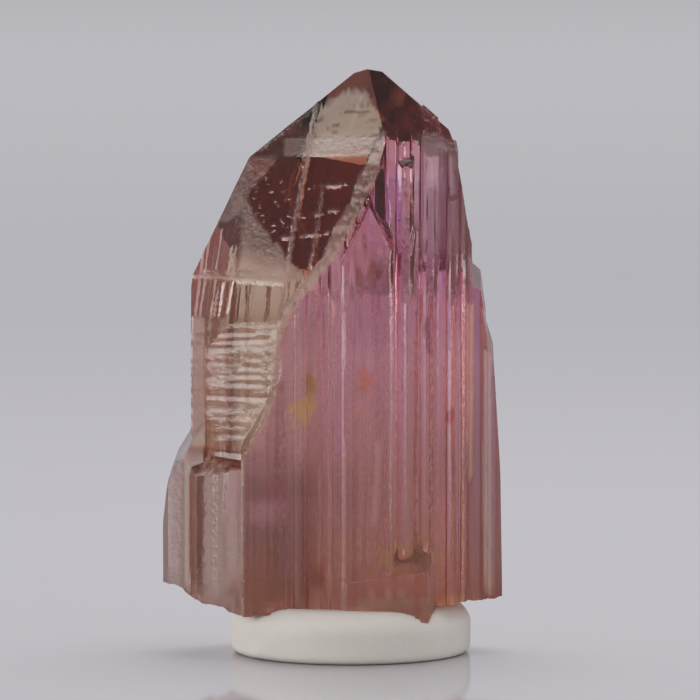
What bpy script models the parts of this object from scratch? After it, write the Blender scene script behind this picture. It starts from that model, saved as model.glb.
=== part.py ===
"""A pink tanzanite crystal that stands on a pressed disc of display putty.

Metres, +Z up, with the crystal's front towards -Y. The origin is on the surface that the putty rests on,
under the middle of the whole object. Lengths below are in millimetres. The shapes are joined and cut at a
thousand times their size, where such small steps stay exact, and MM then brings them to metres.
"""

import math
import random

import bmesh
import bpy
from mathutils import Vector, noise

MM = 0.001
CLOSE_ENOUGH = 0.004

# Putty disc
PUTTY_CENTRE_X = 0.70
PUTTY_RADIUS = 4.60
PUTTY_HEIGHT = 1.95
PUTTY_RIM_ROUND = 0.85
PUTTY_FOOT_ROUND = 0.30
PUTTY_SIDES = 72
PUTTY_ROUND_STEPS = 6
PUTTY_WOBBLE = 0.07
PUTTY_GAP = 0.06

# Main column of the crystal, seen from above
COLUMN_LOW = 0.6
COLUMN_HIGH = 23.5
FRONT_LEFT_CORNER = (-3.45, -2.52)
FRONT_RIGHT_CORNER = (5.07, -1.98)
SIDE_RIGHT_CORNER = (5.07, 1.55)
BACK_RIGHT_CORNER = (3.10, 3.02)
BACK_LEFT_CORNER = (-1.70, 3.15)
SIDE_LEFT_BACK_CORNER = (-4.70, 1.95)
SIDE_LEFT_FRONT_CORNER = (-5.38, 0.55)
LEFT_FRONT_CORNER = (-5.36, -1.00)

# Ribs: where each one ends along the front, how far it stands out, and how much of that it loses across its width
FRONT_RIBS = (
    (-2.15, 0.05, 0.1),
    (-1.46, 0.09, 0.2),
    (-0.98, 0.05, -0.2),
    (-0.47, 0.10, 0.2),
    (-0.10, 0.06, 0.3),
    (0.51, 0.11, 0.1),
    (0.97, 0.08, -0.3),
    (1.50, 0.14, 0.2),
    (2.03, 0.24, 0.5),
    (2.41, 0.14, -0.6),
    (2.95, 0.29, 0.3),
    (3.33, 0.13, -0.3),
    (3.93, 0.27, 0.4),
    (4.31, 0.12, -0.5),
    (4.77, 0.24, 0.3),
    (5.07, 0.13, 0.2),
)
RIB_SHOULDER = 0.07

# How far the front bulges out, from left to right
FRONT_BULGE = (
    (-3.45, 0.14),
    (-1.70, 0.38),
    (-0.60, 0.62),
    (0.50, 0.78),
    (1.25, 0.78),
    (1.85, 0.58),
    (2.30, 0.26),
    (5.07, 0.0),
)
BACK_RIB_COUNT = 11
SIDE_RIB_COUNT = 6
BACK_RIB_STAND = (0.05, 0.22)
RIB_SEED = 11

# Facets that close the main column: a point on each one and the way it faces
FACETS = {
    "upper_window": ((-4.77, -0.40, 14.43), (-14.73, -23.06, 8.86)),
    "lower_window": ((-1.88, -2.87, 12.70), (-0.514, -0.857, 0.0)),
    "window_left_edge": ((-4.77, -1.14, 12.40), (-0.84, -0.54, 0.0)),
    "striated_shoulder": ((-3.13, 0.13, 18.54), (-3.80, -3.40, 1.52)),
    "left_back_slope": ((-4.27, 0.50, 16.50), (-0.85, 0.35, 0.44)),
    "left_top_slope": ((-2.68, 0.10, 19.20), (-0.55, 0.28, 0.796)),
    "front_top_slope": ((1.35, -1.30, 22.27), (2.01, -6.15, 3.75)),
    "right_top_slope": ((1.99, -1.27, 21.98), (0.66, 0.10, 0.74)),
    "right_taper": ((5.07, 0.00, 16.34), (0.985, 0.02, 0.17)),
    "right_shoulder": ((4.50, -1.70, 19.60), (0.93, 0.00, 0.37)),
    "tip_left": ((0.67, -1.00, 21.98), (-0.287, 0.0, 0.958)),
    "tip_right": ((1.99, -1.33, 22.06), (0.17, 0.0, 0.985)),
}

# Pieces missing from the top of the back: the wall in front of each one, the ledge under it and any side wall
BACK_STEPS = {
    "middle_step": (
        ((0.475, 0.57, 18.45), (0.12, 0.92, 0.37)),
        ((0.475, 0.57, 18.45), (0.15, 0.85, 0.50)),
        ((-0.55, 0.53, 18.60), (0.985, 0.0, -0.173)),
    ),
    "left_step": (((-0.55, 1.14, 18.60), (-0.30, 0.90, 0.30)), ((0.475, 0.57, 18.05), (0.13, 0.86, 0.50))),
    "right_step": (((4.30, 0.30, 17.60), (0.60, 0.72, 0.34)), ((3.60, 2.20, 14.90), (0.42, 0.66, 0.62))),
}
STEP_REACH = 12.0

# Each plate or side column ends a little lower than the one before it, and its slopes stand a little prouder,
# so that no two faces coincide where they are joined
STAGGER = 0.03

# Slopes of the main column that also close the plates on its front
PLATE_SLOPES = ("front_top_slope", "right_top_slope", "right_shoulder", "right_taper")

# Plates that grew on the front: left, right, front and back place, then the facets that end them
FRONT_PLATES = {
    "pointed_plate": (
        (0.33, 2.30, -3.36, -1.0),
        (((1.40, -3.0, 17.35), (-0.87, -0.32, 0.42)), ((1.40, -3.0, 17.35), (0.82, -0.38, 0.42))),
    ),
    "right_strip": ((2.47, 3.06, -2.86, -1.0), (((2.75, -2.8, 18.55), (0.15, -0.72, 0.55)),)),
    "far_right_strip": ((3.40, 3.98, -2.72, -1.0), (((3.70, -2.7, 18.95), (0.30, -0.75, 0.55)),)),
    "edge_strip": ((4.33, 4.74, -2.45, -1.0), (((4.50, -2.4, 17.30), (0.20, -0.80, 0.50)),)),
    "left_foot_plate": ((-3.42, -1.60, -2.95, -1.0), (((-2.15, -2.9, 10.20), (-0.88, -0.21, 0.42)),)),
    "chip": (
        (0.42, 3.72, -3.40, -0.6),
        (((2.00, -3.1, 3.45), (-0.10, -0.72, 0.70)), ((3.72, -3.2, 3.2), (0.85, -0.45, 0.25))),
    ),
}

# Columns that grew along the sides: outline seen from above, then the facets that end them
SIDE_COLUMNS = {
    "right_column": (
        ((4.60, -1.55), (5.55, -1.42), (5.86, -1.05), (5.84, 1.35), (4.60, 1.60)),
        (((5.07, 0.0, 14.62), (0.62, -0.18, 0.74)), ((5.68, 0.0, 13.62), (0.97, -0.05, 0.14))),
    ),
    "outer_right_column": (
        ((5.40, -0.92), (6.18, -0.98), (6.44, -0.62), (6.44, 0.92), (5.40, 1.25)),
        (
            ((5.68, 0.0, 12.65), (0.93, -0.12, 0.30)),
            ((6.16, 0.0, 10.60), (0.996, -0.02, 0.06)),
            ((6.38, 0.0, 6.20), (0.999, 0.0, 0.017)),
        ),
    ),
    "outer_left_column": (
        ((-6.44, -0.40), (-6.22, -1.18), (-5.58, -1.62), (-4.80, -1.50), (-4.80, 1.30), (-6.10, 1.05)),
        (
            ((-5.95, -0.3, 7.28), (-0.845, -0.10, 0.535)),
            ((-6.29, -0.4, 6.33), (-0.94, -0.05, 0.34)),
            ((-6.43, -0.4, 5.05), (-0.993, 0.0, 0.118)),
        ),
    ),
    "inner_left_column": (
        ((-5.36, -1.55), (-5.12, -2.18), (-4.55, -2.26), (-4.30, -2.38), (-3.62, -2.46), (-3.20, -2.40), (-3.20, -0.5),
         (-5.36, -0.4)),
        (((-5.03, -2.20, 6.88), (-0.22, -0.52, 0.83)), ((-3.40, -2.45, 7.96), (-0.40, -0.62, 0.68))),
    ),
}

# Broken underside: how high it is from left to right, in steps, and how rough
BREAK_PROFILE = (
    (-7.0, 2.72),
    (-5.80, 2.66),
    (-5.45, 2.36),
    (-4.95, 2.02),
    (-4.15, 1.95),
    (-3.75, 1.70),
    (-3.20, 1.58),
    (-1.80, 1.80),
    (0.25, 1.74),
    (1.00, 1.58),
    (1.70, 1.34),
    (2.60, 1.22),
    (3.55, 1.36),
    (3.80, 1.98),
    (5.10, 2.10),
    (7.0, 2.14),
)
BREAK_HALF_DEPTH = 4.2
BREAK_STEPS_X = 54
BREAK_STEPS_Y = 26
BREAK_ROUGHNESS = 0.10
BREAK_GRAIN = 1.15
BREAK_BACK_LIFT = 0.10
BREAK_CUTTER_DEPTH = 6.0


def clear_scene():
    """Removes whatever the file holds."""
    for old in list(bpy.data.objects):
        bpy.data.objects.remove(old)


def make_material(name, colour, roughness, transmission=0.0, ior=1.5):
    """A Principled material with one colour."""
    material = bpy.data.materials.new(name)
    material.use_nodes = True
    shader = material.node_tree.nodes["Principled BSDF"]
    shader.inputs["Base Color"].default_value = (*colour, 1.0)
    shader.inputs["Roughness"].default_value = roughness
    shader.inputs["Metallic"].default_value = 0.0
    shader.inputs["Transmission Weight"].default_value = transmission
    shader.inputs["IOR"].default_value = ior
    material.diffuse_color = (*colour, 1.0)
    return material


def make_object(name, shape, material=None):
    """Turns a bmesh into a named object."""
    bmesh.ops.recalc_face_normals(shape, faces=shape.faces)
    mesh = bpy.data.meshes.new(name)
    shape.to_mesh(mesh)
    shape.free()
    made = bpy.data.objects.new(name, mesh)
    bpy.context.scene.collection.objects.link(made)
    if material:
        mesh.materials.append(material)
    return made


def hide_helper(helper):
    """Marks an object that only cuts or joins another."""
    helper.hide_render = True
    helper.display_type = "WIRE"


def combine(target, other, operation):
    """Joins a helper to the target, or cuts it away."""
    modifier = target.modifiers.new(other.name, "BOOLEAN")
    modifier.operation = operation
    modifier.object = other
    modifier.solver = "EXACT"
    hide_helper(other)


def finish(target):
    """Applies the joins and cuts, merges points that nearly meet, and brings the object to metres."""
    graph = bpy.context.evaluated_depsgraph_get()
    mesh = bpy.data.meshes.new_from_object(target.evaluated_get(graph))
    shape = bmesh.new()
    shape.from_mesh(mesh)
    bmesh.ops.remove_doubles(shape, verts=shape.verts, dist=CLOSE_ENOUGH)
    bmesh.ops.dissolve_degenerate(shape, edges=shape.edges, dist=CLOSE_ENOUGH)
    bmesh.ops.triangulate(shape, faces=shape.faces)
    bmesh.ops.scale(shape, vec=(MM, MM, MM), verts=shape.verts)
    shape.to_mesh(mesh)
    shape.free()
    target.modifiers.clear()
    target.data = mesh


def prism(outline, low, high):
    """An upright column with the given outline, as a bmesh."""
    shape = bmesh.new()
    base = shape.faces.new([shape.verts.new((x, y, low)) for x, y in outline])
    grown = bmesh.ops.extrude_face_region(shape, geom=[base])
    moved = [item for item in grown["geom"] if isinstance(item, bmesh.types.BMVert)]
    bmesh.ops.translate(shape, vec=(0, 0, high - low), verts=moved)
    return shape


def cut_facet(shape, point, normal):
    """Cuts the shape flat at a plane and closes the cut. What lies on the normal's side goes."""
    geometry = shape.verts[:] + shape.edges[:] + shape.faces[:]
    cut = bmesh.ops.bisect_plane(
        shape, geom=geometry, plane_co=point, plane_no=Vector(normal).normalized(), clear_outer=True
    )
    rim = [item for item in cut["geom_cut"] if isinstance(item, bmesh.types.BMEdge)]
    bmesh.ops.holes_fill(shape, edges=[edge for edge in rim if edge.is_boundary])


def ribbed_side(start, end, ribs):
    """Points along one side of an outline, with a rib for each (share of the way, stand, loss) and a groove after it."""
    start, end = Vector(start), Vector(end)
    along = end - start
    outward = Vector((along.y, -along.x)).normalized()
    shoulder = RIB_SHOULDER / along.length
    points = []
    share = 0.0
    for rib_end, stand, loss in ribs:
        points.append(start + along * share)
        points.append(start + along * (share + shoulder) + outward * stand)
        points.append(start + along * (rib_end - shoulder) + outward * stand * (1 - loss))
        share = rib_end
    return [tuple(point) for point in points]


def front_ribs():
    """The measured front ribs as shares of the way along the front."""
    left, right = FRONT_LEFT_CORNER[0], FRONT_RIGHT_CORNER[0]
    return [((x - left) / (right - left), stand, loss) for x, stand, loss in FRONT_RIBS]


def random_ribs(count, chance):
    """Ribs of uneven width and stand for the sides that the front doesn't show."""
    widths = [chance.uniform(0.5, 1.6) for _ in range(count)]
    total = sum(widths)
    ribs = []
    reached = 0.0
    for width in widths:
        reached += width / total
        ribs.append((reached, chance.uniform(*BACK_RIB_STAND), chance.uniform(-0.5, 0.5)))
    return ribs


def front_bulge(x):
    """How far the front bulges out at a place."""
    for (x0, y0), (x1, y1) in zip(FRONT_BULGE, FRONT_BULGE[1:]):
        if x0 <= x <= x1:
            return y0 + (y1 - y0) * (x - x0) / (x1 - x0)
    return 0.0


def main_outline():
    """The main column seen from above, anticlockwise, with its ribs."""
    chance = random.Random(RIB_SEED)
    front = ribbed_side(FRONT_LEFT_CORNER, FRONT_RIGHT_CORNER, front_ribs())
    outline = [(x, y - front_bulge(x)) for x, y in front]
    outline += ribbed_side(FRONT_RIGHT_CORNER, SIDE_RIGHT_CORNER, random_ribs(SIDE_RIB_COUNT, chance))
    outline += ribbed_side(SIDE_RIGHT_CORNER, BACK_RIGHT_CORNER, random_ribs(SIDE_RIB_COUNT // 2, chance))
    outline += ribbed_side(BACK_RIGHT_CORNER, BACK_LEFT_CORNER, random_ribs(BACK_RIB_COUNT, chance))
    outline += ribbed_side(BACK_LEFT_CORNER, SIDE_LEFT_BACK_CORNER, random_ribs(SIDE_RIB_COUNT, chance))
    outline += [SIDE_LEFT_BACK_CORNER, SIDE_LEFT_FRONT_CORNER, LEFT_FRONT_CORNER]
    return outline


def make_main_column(material):
    """The large striated column with its window and its slopes."""
    shape = prism(main_outline(), COLUMN_LOW, COLUMN_HIGH)
    for point, normal in FACETS.values():
        cut_facet(shape, point, normal)
    return make_object("crystal", shape, material)


def cut_back_steps(crystal):
    """Takes away what is behind each wall and above its ledge, which leaves a step in the back."""
    outline = ((-STEP_REACH, -STEP_REACH), (STEP_REACH, -STEP_REACH), (STEP_REACH, STEP_REACH),
               (-STEP_REACH, STEP_REACH))
    for name, planes in BACK_STEPS.items():
        shape = prism(outline, COLUMN_LOW, COLUMN_HIGH + STEP_REACH)
        for point, normal in planes:
            cut_facet(shape, point, [-value for value in normal])
        combine(crystal, make_object(name, shape), "DIFFERENCE")


def make_front_plates(crystal):
    """Thin plates that stand proud of the front and end at their own heights."""
    for number, (name, ((left, right, front, back), facets)) in enumerate(FRONT_PLATES.items(), start=1):
        outline = ((left, back), (left, front + 0.10), (left + 0.12, front), (right - 0.16, front + 0.05),
                   (right, front + 0.16), (right, back))
        shape = prism(outline, COLUMN_LOW - STAGGER * number, COLUMN_HIGH)
        for point, normal in facets:
            cut_facet(shape, point, normal)
        for slope in PLATE_SLOPES:
            point, normal = FACETS[slope]
            proud = Vector(point) + Vector(normal).normalized() * STAGGER * number
            cut_facet(shape, proud, normal)
        combine(crystal, make_object(name, shape), "UNION")


def make_side_columns(crystal):
    """Narrow columns that grew in parallel along the left and right."""
    first = len(FRONT_PLATES) + 1
    for number, (name, (outline, facets)) in enumerate(SIDE_COLUMNS.items(), start=first):
        shape = prism(outline, COLUMN_LOW - STAGGER * number, COLUMN_HIGH)
        for point, normal in facets:
            cut_facet(shape, point, normal)
        combine(crystal, make_object(name, shape), "UNION")


def break_height(x, y):
    """Height of the broken underside at a place, without the gap to the putty."""
    for (x0, z0), (x1, z1) in zip(BREAK_PROFILE, BREAK_PROFILE[1:]):
        if x0 <= x <= x1:
            level = z0 + (z1 - z0) * (x - x0) / (x1 - x0)
            break
    rough = noise.noise(Vector((x, y, 0.0)) * BREAK_GRAIN) * BREAK_ROUGHNESS
    ridged = abs(noise.noise(Vector((x + 7.0, y, 3.0)) * BREAK_GRAIN * 2)) * BREAK_ROUGHNESS
    lift = BREAK_BACK_LIFT * max(0.0, y) / BREAK_HALF_DEPTH
    return level + rough + ridged + lift


def break_block(name, gap, upwards):
    """A block with the broken underside as one face. It fills what is below that face, or above it."""
    left, right = BREAK_PROFILE[0][0], BREAK_PROFILE[-1][0]
    shape = bmesh.new()
    bmesh.ops.create_grid(shape, x_segments=BREAK_STEPS_X, y_segments=BREAK_STEPS_Y, size=1.0)
    for vert in shape.verts:
        x = left + (right - left) * (vert.co.x + 1) / 2
        y = BREAK_HALF_DEPTH * vert.co.y
        vert.co = (x, y, break_height(x, y) - gap)
    grown = bmesh.ops.extrude_face_region(shape, geom=shape.faces[:])
    far = COLUMN_LOW - BREAK_CUTTER_DEPTH if not upwards else COLUMN_LOW + BREAK_CUTTER_DEPTH
    for vert in (item for item in grown["geom"] if isinstance(item, bmesh.types.BMVert)):
        vert.co.z = far
    return make_object(name, shape)


def putty_profile():
    """Half of the putty's section, from the middle of its foot out and up to the middle of its top."""
    points = [(0.0, 0.0)]
    for step in range(PUTTY_ROUND_STEPS + 1):
        turn = math.pi / 2 * step / PUTTY_ROUND_STEPS
        points.append((
            PUTTY_RADIUS - PUTTY_FOOT_ROUND * (1 - math.sin(turn)),
            PUTTY_FOOT_ROUND * (1 - math.cos(turn)),
        ))
    for step in range(PUTTY_ROUND_STEPS + 1):
        turn = math.pi / 2 * step / PUTTY_ROUND_STEPS
        points.append((
            PUTTY_RADIUS - PUTTY_RIM_ROUND * (1 - math.cos(turn)),
            PUTTY_HEIGHT - PUTTY_RIM_ROUND * (1 - math.sin(turn)),
        ))
    points.append((0.0, PUTTY_HEIGHT))
    return points


def make_putty(material):
    """The disc of putty, pressed out by hand, so that its rim isn't quite round."""
    shape = bmesh.new()
    rings = []
    for radius, height in putty_profile():
        if radius == 0.0:
            rings.append([shape.verts.new((PUTTY_CENTRE_X, 0.0, height))])
            continue
        ring = []
        for side in range(PUTTY_SIDES):
            turn = 2 * math.pi * side / PUTTY_SIDES
            swell = 1 + PUTTY_WOBBLE / PUTTY_RADIUS * math.sin(2 * turn + 0.6) * height / PUTTY_HEIGHT
            ring.append(shape.verts.new((
                PUTTY_CENTRE_X + radius * swell * math.cos(turn),
                radius * math.sin(turn),
                height,
            )))
        rings.append(ring)
    for lower, upper in zip(rings, rings[1:]):
        for side in range(PUTTY_SIDES):
            following = (side + 1) % PUTTY_SIDES
            corners = [lower[side % len(lower)], lower[following % len(lower)],
                       upper[following % len(upper)], upper[side % len(upper)]]
            shape.faces.new(list(dict.fromkeys(corners)))
    return make_object("putty_disc", shape, material)


def main():
    """Builds the crystal and the putty under it."""
    clear_scene()
    stone = make_material("pink_tanzanite", (0.66, 0.36, 0.40), 0.08, transmission=0.9, ior=1.69)
    putty = make_material("white_putty", (0.78, 0.76, 0.71), 0.6)
    crystal = make_main_column(stone)
    cut_back_steps(crystal)
    make_side_columns(crystal)
    make_front_plates(crystal)
    combine(crystal, break_block("base_break", 0.0, upwards=False), "DIFFERENCE")
    disc = make_putty(putty)
    combine(disc, break_block("base_print", PUTTY_GAP, upwards=True), "DIFFERENCE")
    finish(crystal)
    finish(disc)
    for helper in [other for other in bpy.data.objects if other.hide_render]:
        bpy.data.objects.remove(helper)


main()
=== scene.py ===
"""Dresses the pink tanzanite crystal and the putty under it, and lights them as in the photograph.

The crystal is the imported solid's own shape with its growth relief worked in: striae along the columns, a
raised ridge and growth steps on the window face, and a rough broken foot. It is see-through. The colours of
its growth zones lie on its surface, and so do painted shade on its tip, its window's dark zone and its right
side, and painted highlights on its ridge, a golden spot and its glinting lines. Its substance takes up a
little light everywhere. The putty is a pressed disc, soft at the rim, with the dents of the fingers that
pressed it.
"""

from __future__ import annotations

import logging
import math
import random
from dataclasses import dataclass, field
from enum import Enum

import bmesh
import bpy
import numpy as np
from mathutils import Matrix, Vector, noise
from mathutils.bvhtree import BVHTree

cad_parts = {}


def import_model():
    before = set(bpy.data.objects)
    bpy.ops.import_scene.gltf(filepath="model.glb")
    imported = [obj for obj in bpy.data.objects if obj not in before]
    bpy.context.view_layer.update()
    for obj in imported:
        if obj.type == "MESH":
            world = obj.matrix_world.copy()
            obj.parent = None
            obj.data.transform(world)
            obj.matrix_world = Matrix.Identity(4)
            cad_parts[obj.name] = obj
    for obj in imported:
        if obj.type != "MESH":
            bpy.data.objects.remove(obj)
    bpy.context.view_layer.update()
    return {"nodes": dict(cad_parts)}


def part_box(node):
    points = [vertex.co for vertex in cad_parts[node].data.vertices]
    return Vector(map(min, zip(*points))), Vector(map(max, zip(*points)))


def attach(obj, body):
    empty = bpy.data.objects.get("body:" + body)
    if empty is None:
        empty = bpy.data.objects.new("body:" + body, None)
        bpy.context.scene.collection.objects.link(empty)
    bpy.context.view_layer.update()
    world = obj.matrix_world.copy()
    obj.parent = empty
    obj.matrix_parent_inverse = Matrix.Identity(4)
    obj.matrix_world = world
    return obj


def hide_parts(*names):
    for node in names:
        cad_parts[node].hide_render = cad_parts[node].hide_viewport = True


LOG = logging.getLogger("tanzanite")
MM = 0.001


@dataclass(frozen=True)
class Picture:
    """How the photograph's frame lies over the object."""

    width: float = 700.0
    mm_per_pixel: float = 0.038
    middle_column: float = 332.5
    ground_row: float = 652.5
    elevation: float = 4.0
    distance_mm: float = 200.0

    def across(self, column: float) -> float:
        """Turns a column of the photograph into millimetres along X."""
        return (column - self.middle_column) * self.mm_per_pixel

    def up(self, row: float) -> float:
        """Turns a row of the photograph into millimetres up the picture."""
        return (self.ground_row - row) * self.mm_per_pixel


PICTURE = Picture()


def deselect() -> None:
    """Leaves nothing selected, so that the next operator acts on its own piece alone."""
    if bpy.context.object and bpy.context.object.mode != "OBJECT":
        bpy.ops.object.mode_set(mode="OBJECT")
    bpy.ops.object.select_all(action="DESELECT")


def take(piece: bpy.types.Object) -> None:
    """Selects one piece and makes it the active one.

    Args:
        piece: The object that the next operators work on.
    """
    deselect()
    piece.select_set(True)
    bpy.context.view_layer.objects.active = piece


def settle(piece: bpy.types.Object) -> None:
    """Puts a piece's place into its mesh, so that its object sits at the origin.

    Args:
        piece: The object to settle.
    """
    take(piece)
    bpy.ops.object.transform_apply(location=True, rotation=True, scale=True)


class Recipe:
    """The nodes of one material, or of the world."""

    def __init__(self, owner: bpy.types.Material | bpy.types.World, shader: str = "Principled BSDF") -> None:
        """Takes up the nodes that a new material or world starts with.

        Args:
            owner: The material or the world.
            shader: The name of the shader that it starts with.
        """
        owner.use_nodes = True
        self.owner = owner
        self.tree = owner.node_tree
        self.shader = self.tree.nodes[shader]

    def feed(self, socket: bpy.types.NodeSocket, value: Value | float | tuple) -> None:
        """Links a value to a socket, or sets the socket to a plain number or colour.

        Args:
            socket: The socket to feed.
            value: What it gets.
        """
        if isinstance(value, Value):
            self.tree.links.new(value.socket, socket)
        elif isinstance(value, tuple) and len(value) == 3 and socket.type == "RGBA":
            socket.default_value = (*value, 1.0)
        else:
            socket.default_value = value

    def node(
        self,
        kind: str,
        settings: dict[str, object] | None = None,
        inputs: dict[int | str, Value | float | tuple] | None = None,
        output: int | str = 0,
    ) -> Value:
        """Adds a node.

        Args:
            kind: The node's type.
            settings: What is set on the node first.
            inputs: The values or links of its sockets.
            output: Which output to hand back.

        Returns:
            The chosen output.
        """
        node = self.tree.nodes.new(kind)
        for key, value in (settings or {}).items():
            setattr(node, key, value)
        for key, value in (inputs or {}).items():
            self.feed(node.inputs[key], value)
        return Value(self, node.outputs[output])

    def blend(self, first: Value | tuple, second: Value | tuple, share: Value | float) -> Value:
        """Mixes two colours, with the first alone at share 0 and the second alone at share 1."""
        return self.node("ShaderNodeMix", {"data_type": "RGBA"}, {0: share, 6: first, 7: second}, 2)

    def vector(self, x: Value | float, y: Value | float, z: Value | float) -> Value:
        """Makes a vector of three numbers."""
        return self.node("ShaderNodeCombineXYZ", None, {0: x, 1: y, 2: z})

    def place_mm(self) -> Value:
        """Gives the place on the piece in millimetres."""
        where = self.node("ShaderNodeTexCoord", None, None, "Object")
        return self.node("ShaderNodeVectorMath", {"operation": "SCALE"}, {0: where, 3: 1 / MM})

    def grain(self, place: Value, scale: float, detail: float, roughness: float = 0.5) -> Value:
        """Natural noise from 0 to 1.

        Args:
            place: Where it is read.
            scale: Grains for each unit of place.
            detail: How many finer layers it has.
            roughness: How strong the finer layers are.

        Returns:
            The noise.
        """
        inputs = {"Vector": place, "Scale": scale, "Detail": detail, "Roughness": roughness}
        return self.node("ShaderNodeTexNoise", None, inputs)

    def bump(self, height_mm: Value, strength: float) -> None:
        """Lets a height in millimetres bend the light on the shader's surface."""
        inputs = {"Strength": strength, "Distance": MM, "Height": height_mm}
        self.feed(self.shader.inputs["Normal"], self.node("ShaderNodeBump", None, inputs))


@dataclass(frozen=True)
class Value:
    """A number that varies over the surface, on which maths is written as plain expressions."""

    recipe: Recipe
    socket: bpy.types.NodeSocket

    def maths(self, operation: str, term: Value | float) -> Value:
        """Adds a Math node that joins this value and a term."""
        return self.recipe.node("ShaderNodeMath", {"operation": operation}, {0: self, 1: term})

    def other(self, output: str) -> Value:
        """Gives another output of the same node."""
        return Value(self.recipe, self.socket.node.outputs[output])

    def __add__(self, term: Value | float) -> Value:
        """Adds a term."""
        return self.maths("ADD", term)

    def __radd__(self, term: float) -> Value:
        """Adds to a plain number."""
        return self.maths("ADD", term)

    def __sub__(self, term: Value | float) -> Value:
        """Takes a term away."""
        return self.maths("SUBTRACT", term)

    def __rsub__(self, term: float) -> Value:
        """Is taken away from a plain number."""
        return self.maths("MULTIPLY", -1.0) + term

    def __mul__(self, term: Value | float) -> Value:
        """Multiplies by a term."""
        return self.maths("MULTIPLY", term)

    def __rmul__(self, term: float) -> Value:
        """Multiplies a plain number."""
        return self.maths("MULTIPLY", term)

    def past(self, start: float, end: float) -> Value:
        """Rises softly from 0 at start to 1 at end."""
        inputs = {0: self, 1: start, 2: end}
        return self.recipe.node("ShaderNodeMapRange", {"interpolation_type": "SMOOTHSTEP"}, inputs)


def rise(values: np.ndarray, start: float | np.ndarray, end: float | np.ndarray) -> np.ndarray:
    """Rises softly from 0 at start to 1 at end, or falls where end is the lower.

    Args:
        values: Where it is read.
        start: Where it is still 0.
        end: Where it is 1.

    Returns:
        The soft step.
    """
    share = np.clip((values - start) / (end - start), 0.0, 1.0)
    return share * share * (3.0 - 2.0 * share)


def band(values: np.ndarray, low: float | np.ndarray, high: float | np.ndarray, soft: float) -> np.ndarray:
    """Is 1 from low to high, with soft ends as wide as twice soft."""
    return rise(values, low - soft, low + soft) * rise(values, high + soft, high - soft)


def wander(across: np.ndarray, along: np.ndarray, layer: float) -> np.ndarray:
    """Gives smooth noise, about -1 to 1, over two coordinates.

    Args:
        across: The first coordinate of each point, in grains.
        along: The second coordinate of each point, in grains.
        layer: Which of the endless independent noises is read.

    Returns:
        The noise at each point.
    """
    return np.array([noise.noise(Vector((a, b, layer))) for a, b in zip(across.tolist(), along.tolist())])


@dataclass(frozen=True)
class Grain:
    """Smooth noise over the picture: its grains for each pixel across and down, and its own layer."""

    across: float
    down: float
    layer: float

    def read(self, columns: np.ndarray, rows: np.ndarray) -> np.ndarray:
        """Gives the noise at each point, about -1 to 1."""
        return wander(columns * self.across, rows * self.down, self.layer)


@dataclass(frozen=True)
class Box:
    """A box in the picture with soft edges: its columns and rows, and how soft it is across and down."""

    columns: tuple[float, float]
    rows: tuple[float, float]
    soft_across: float = 3.0
    soft_down: float = 3.0

    def share(self, columns: np.ndarray, rows: np.ndarray) -> np.ndarray:
        """Is 1 in the box and 0 away from it."""
        return band(columns, *self.columns, self.soft_across) * band(rows, *self.rows, self.soft_down)

class Zone(Enum):
    """The parts of the crystal's front that grew at different times."""

    WINDOW = "window"
    COLUMNS = "columns"


@dataclass(frozen=True)
class Patch:
    """A soft coloured patch: its middle and half sizes in the picture, its colour and its strength."""

    column: float
    row: float
    half_width: float
    half_height: float
    colour: tuple[float, float, float]
    strength: float = 0.8
    soft: float = 0.45
    ragged: float = 0.35

    def share(self, columns: np.ndarray, rows: np.ndarray, fray: np.ndarray) -> np.ndarray:
        """Works out how strongly the patch shows at each point.

        Args:
            columns: The points' places across the picture.
            rows: The points' places down the picture.
            fray: Noise about 0 that frays the patch's edge.

        Returns:
            The patch's strength.
        """
        away = np.hypot((columns - self.column) / self.half_width, (rows - self.row) / self.half_height)
        return rise(away + fray * self.ragged, 1.0 + self.soft, 1.0 - self.soft) * self.strength


@dataclass(frozen=True)
class Seam:
    """A thin line in the face, such as a growth line or a scratch, between two places in the picture."""

    start: tuple[float, float]
    end: tuple[float, float]
    half_width: float
    colour: tuple[float, float, float]
    strength: float = 0.7
    lift_mm: float = 0.0
    frosted: float = 0.0
    faces_right: bool = False

    def off(self, columns: np.ndarray, rows: np.ndarray) -> tuple[np.ndarray, np.ndarray]:
        """Measures the points against the line.

        Args:
            columns: The points' places across the picture.
            rows: The points' places down the picture.

        Returns:
            How far each point is right of the line, and whether it is beside the line, from 0 to 1.
        """
        run = np.array(self.end) - np.array(self.start)
        length = float(np.hypot(*run))
        run = run / length
        right, down = columns - self.start[0], rows - self.start[1]
        along = right * run[0] + down * run[1]
        return right * run[1] - down * run[0], band(along, 0.0, length, LINE_END_SOFT)

    def relief(self, columns: np.ndarray, rows: np.ndarray) -> np.ndarray:
        """Works out the line's relief, which is a bead, or a small facet that faces right.

        Args:
            columns: The points' places across the picture.
            rows: The points' places down the picture.

        Returns:
            The relief in millimetres outwards.
        """
        if not self.faces_right:
            return self.share(columns, rows) * self.lift_mm
        off, along = self.off(columns, rows)
        width = self.half_width * FACET_WIDTH
        slope = np.clip((width - off) / (2.0 * width), 0.0, 1.0) * rise(off, -width - FACET_STEP, -width)
        return slope * along * self.lift_mm

    def share(self, columns: np.ndarray, rows: np.ndarray) -> np.ndarray:
        """Works out how strongly the line shows at each point.

        Args:
            columns: The points' places across the picture.
            rows: The points' places down the picture.

        Returns:
            1 on the line and 0 away from it.
        """
        off, along = self.off(columns, rows)
        return rise(np.abs(off), self.half_width * LINE_GONE, self.half_width * LINE_FULL) * along


# A line's own sizes: in pixels where they are soft ends or steps, else as shares of its half width
LINE_END_SOFT = 2.0
LINE_FULL = 0.5
LINE_GONE = 1.7
FACET_WIDTH = 1.3
FACET_STEP = 1.5
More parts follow.
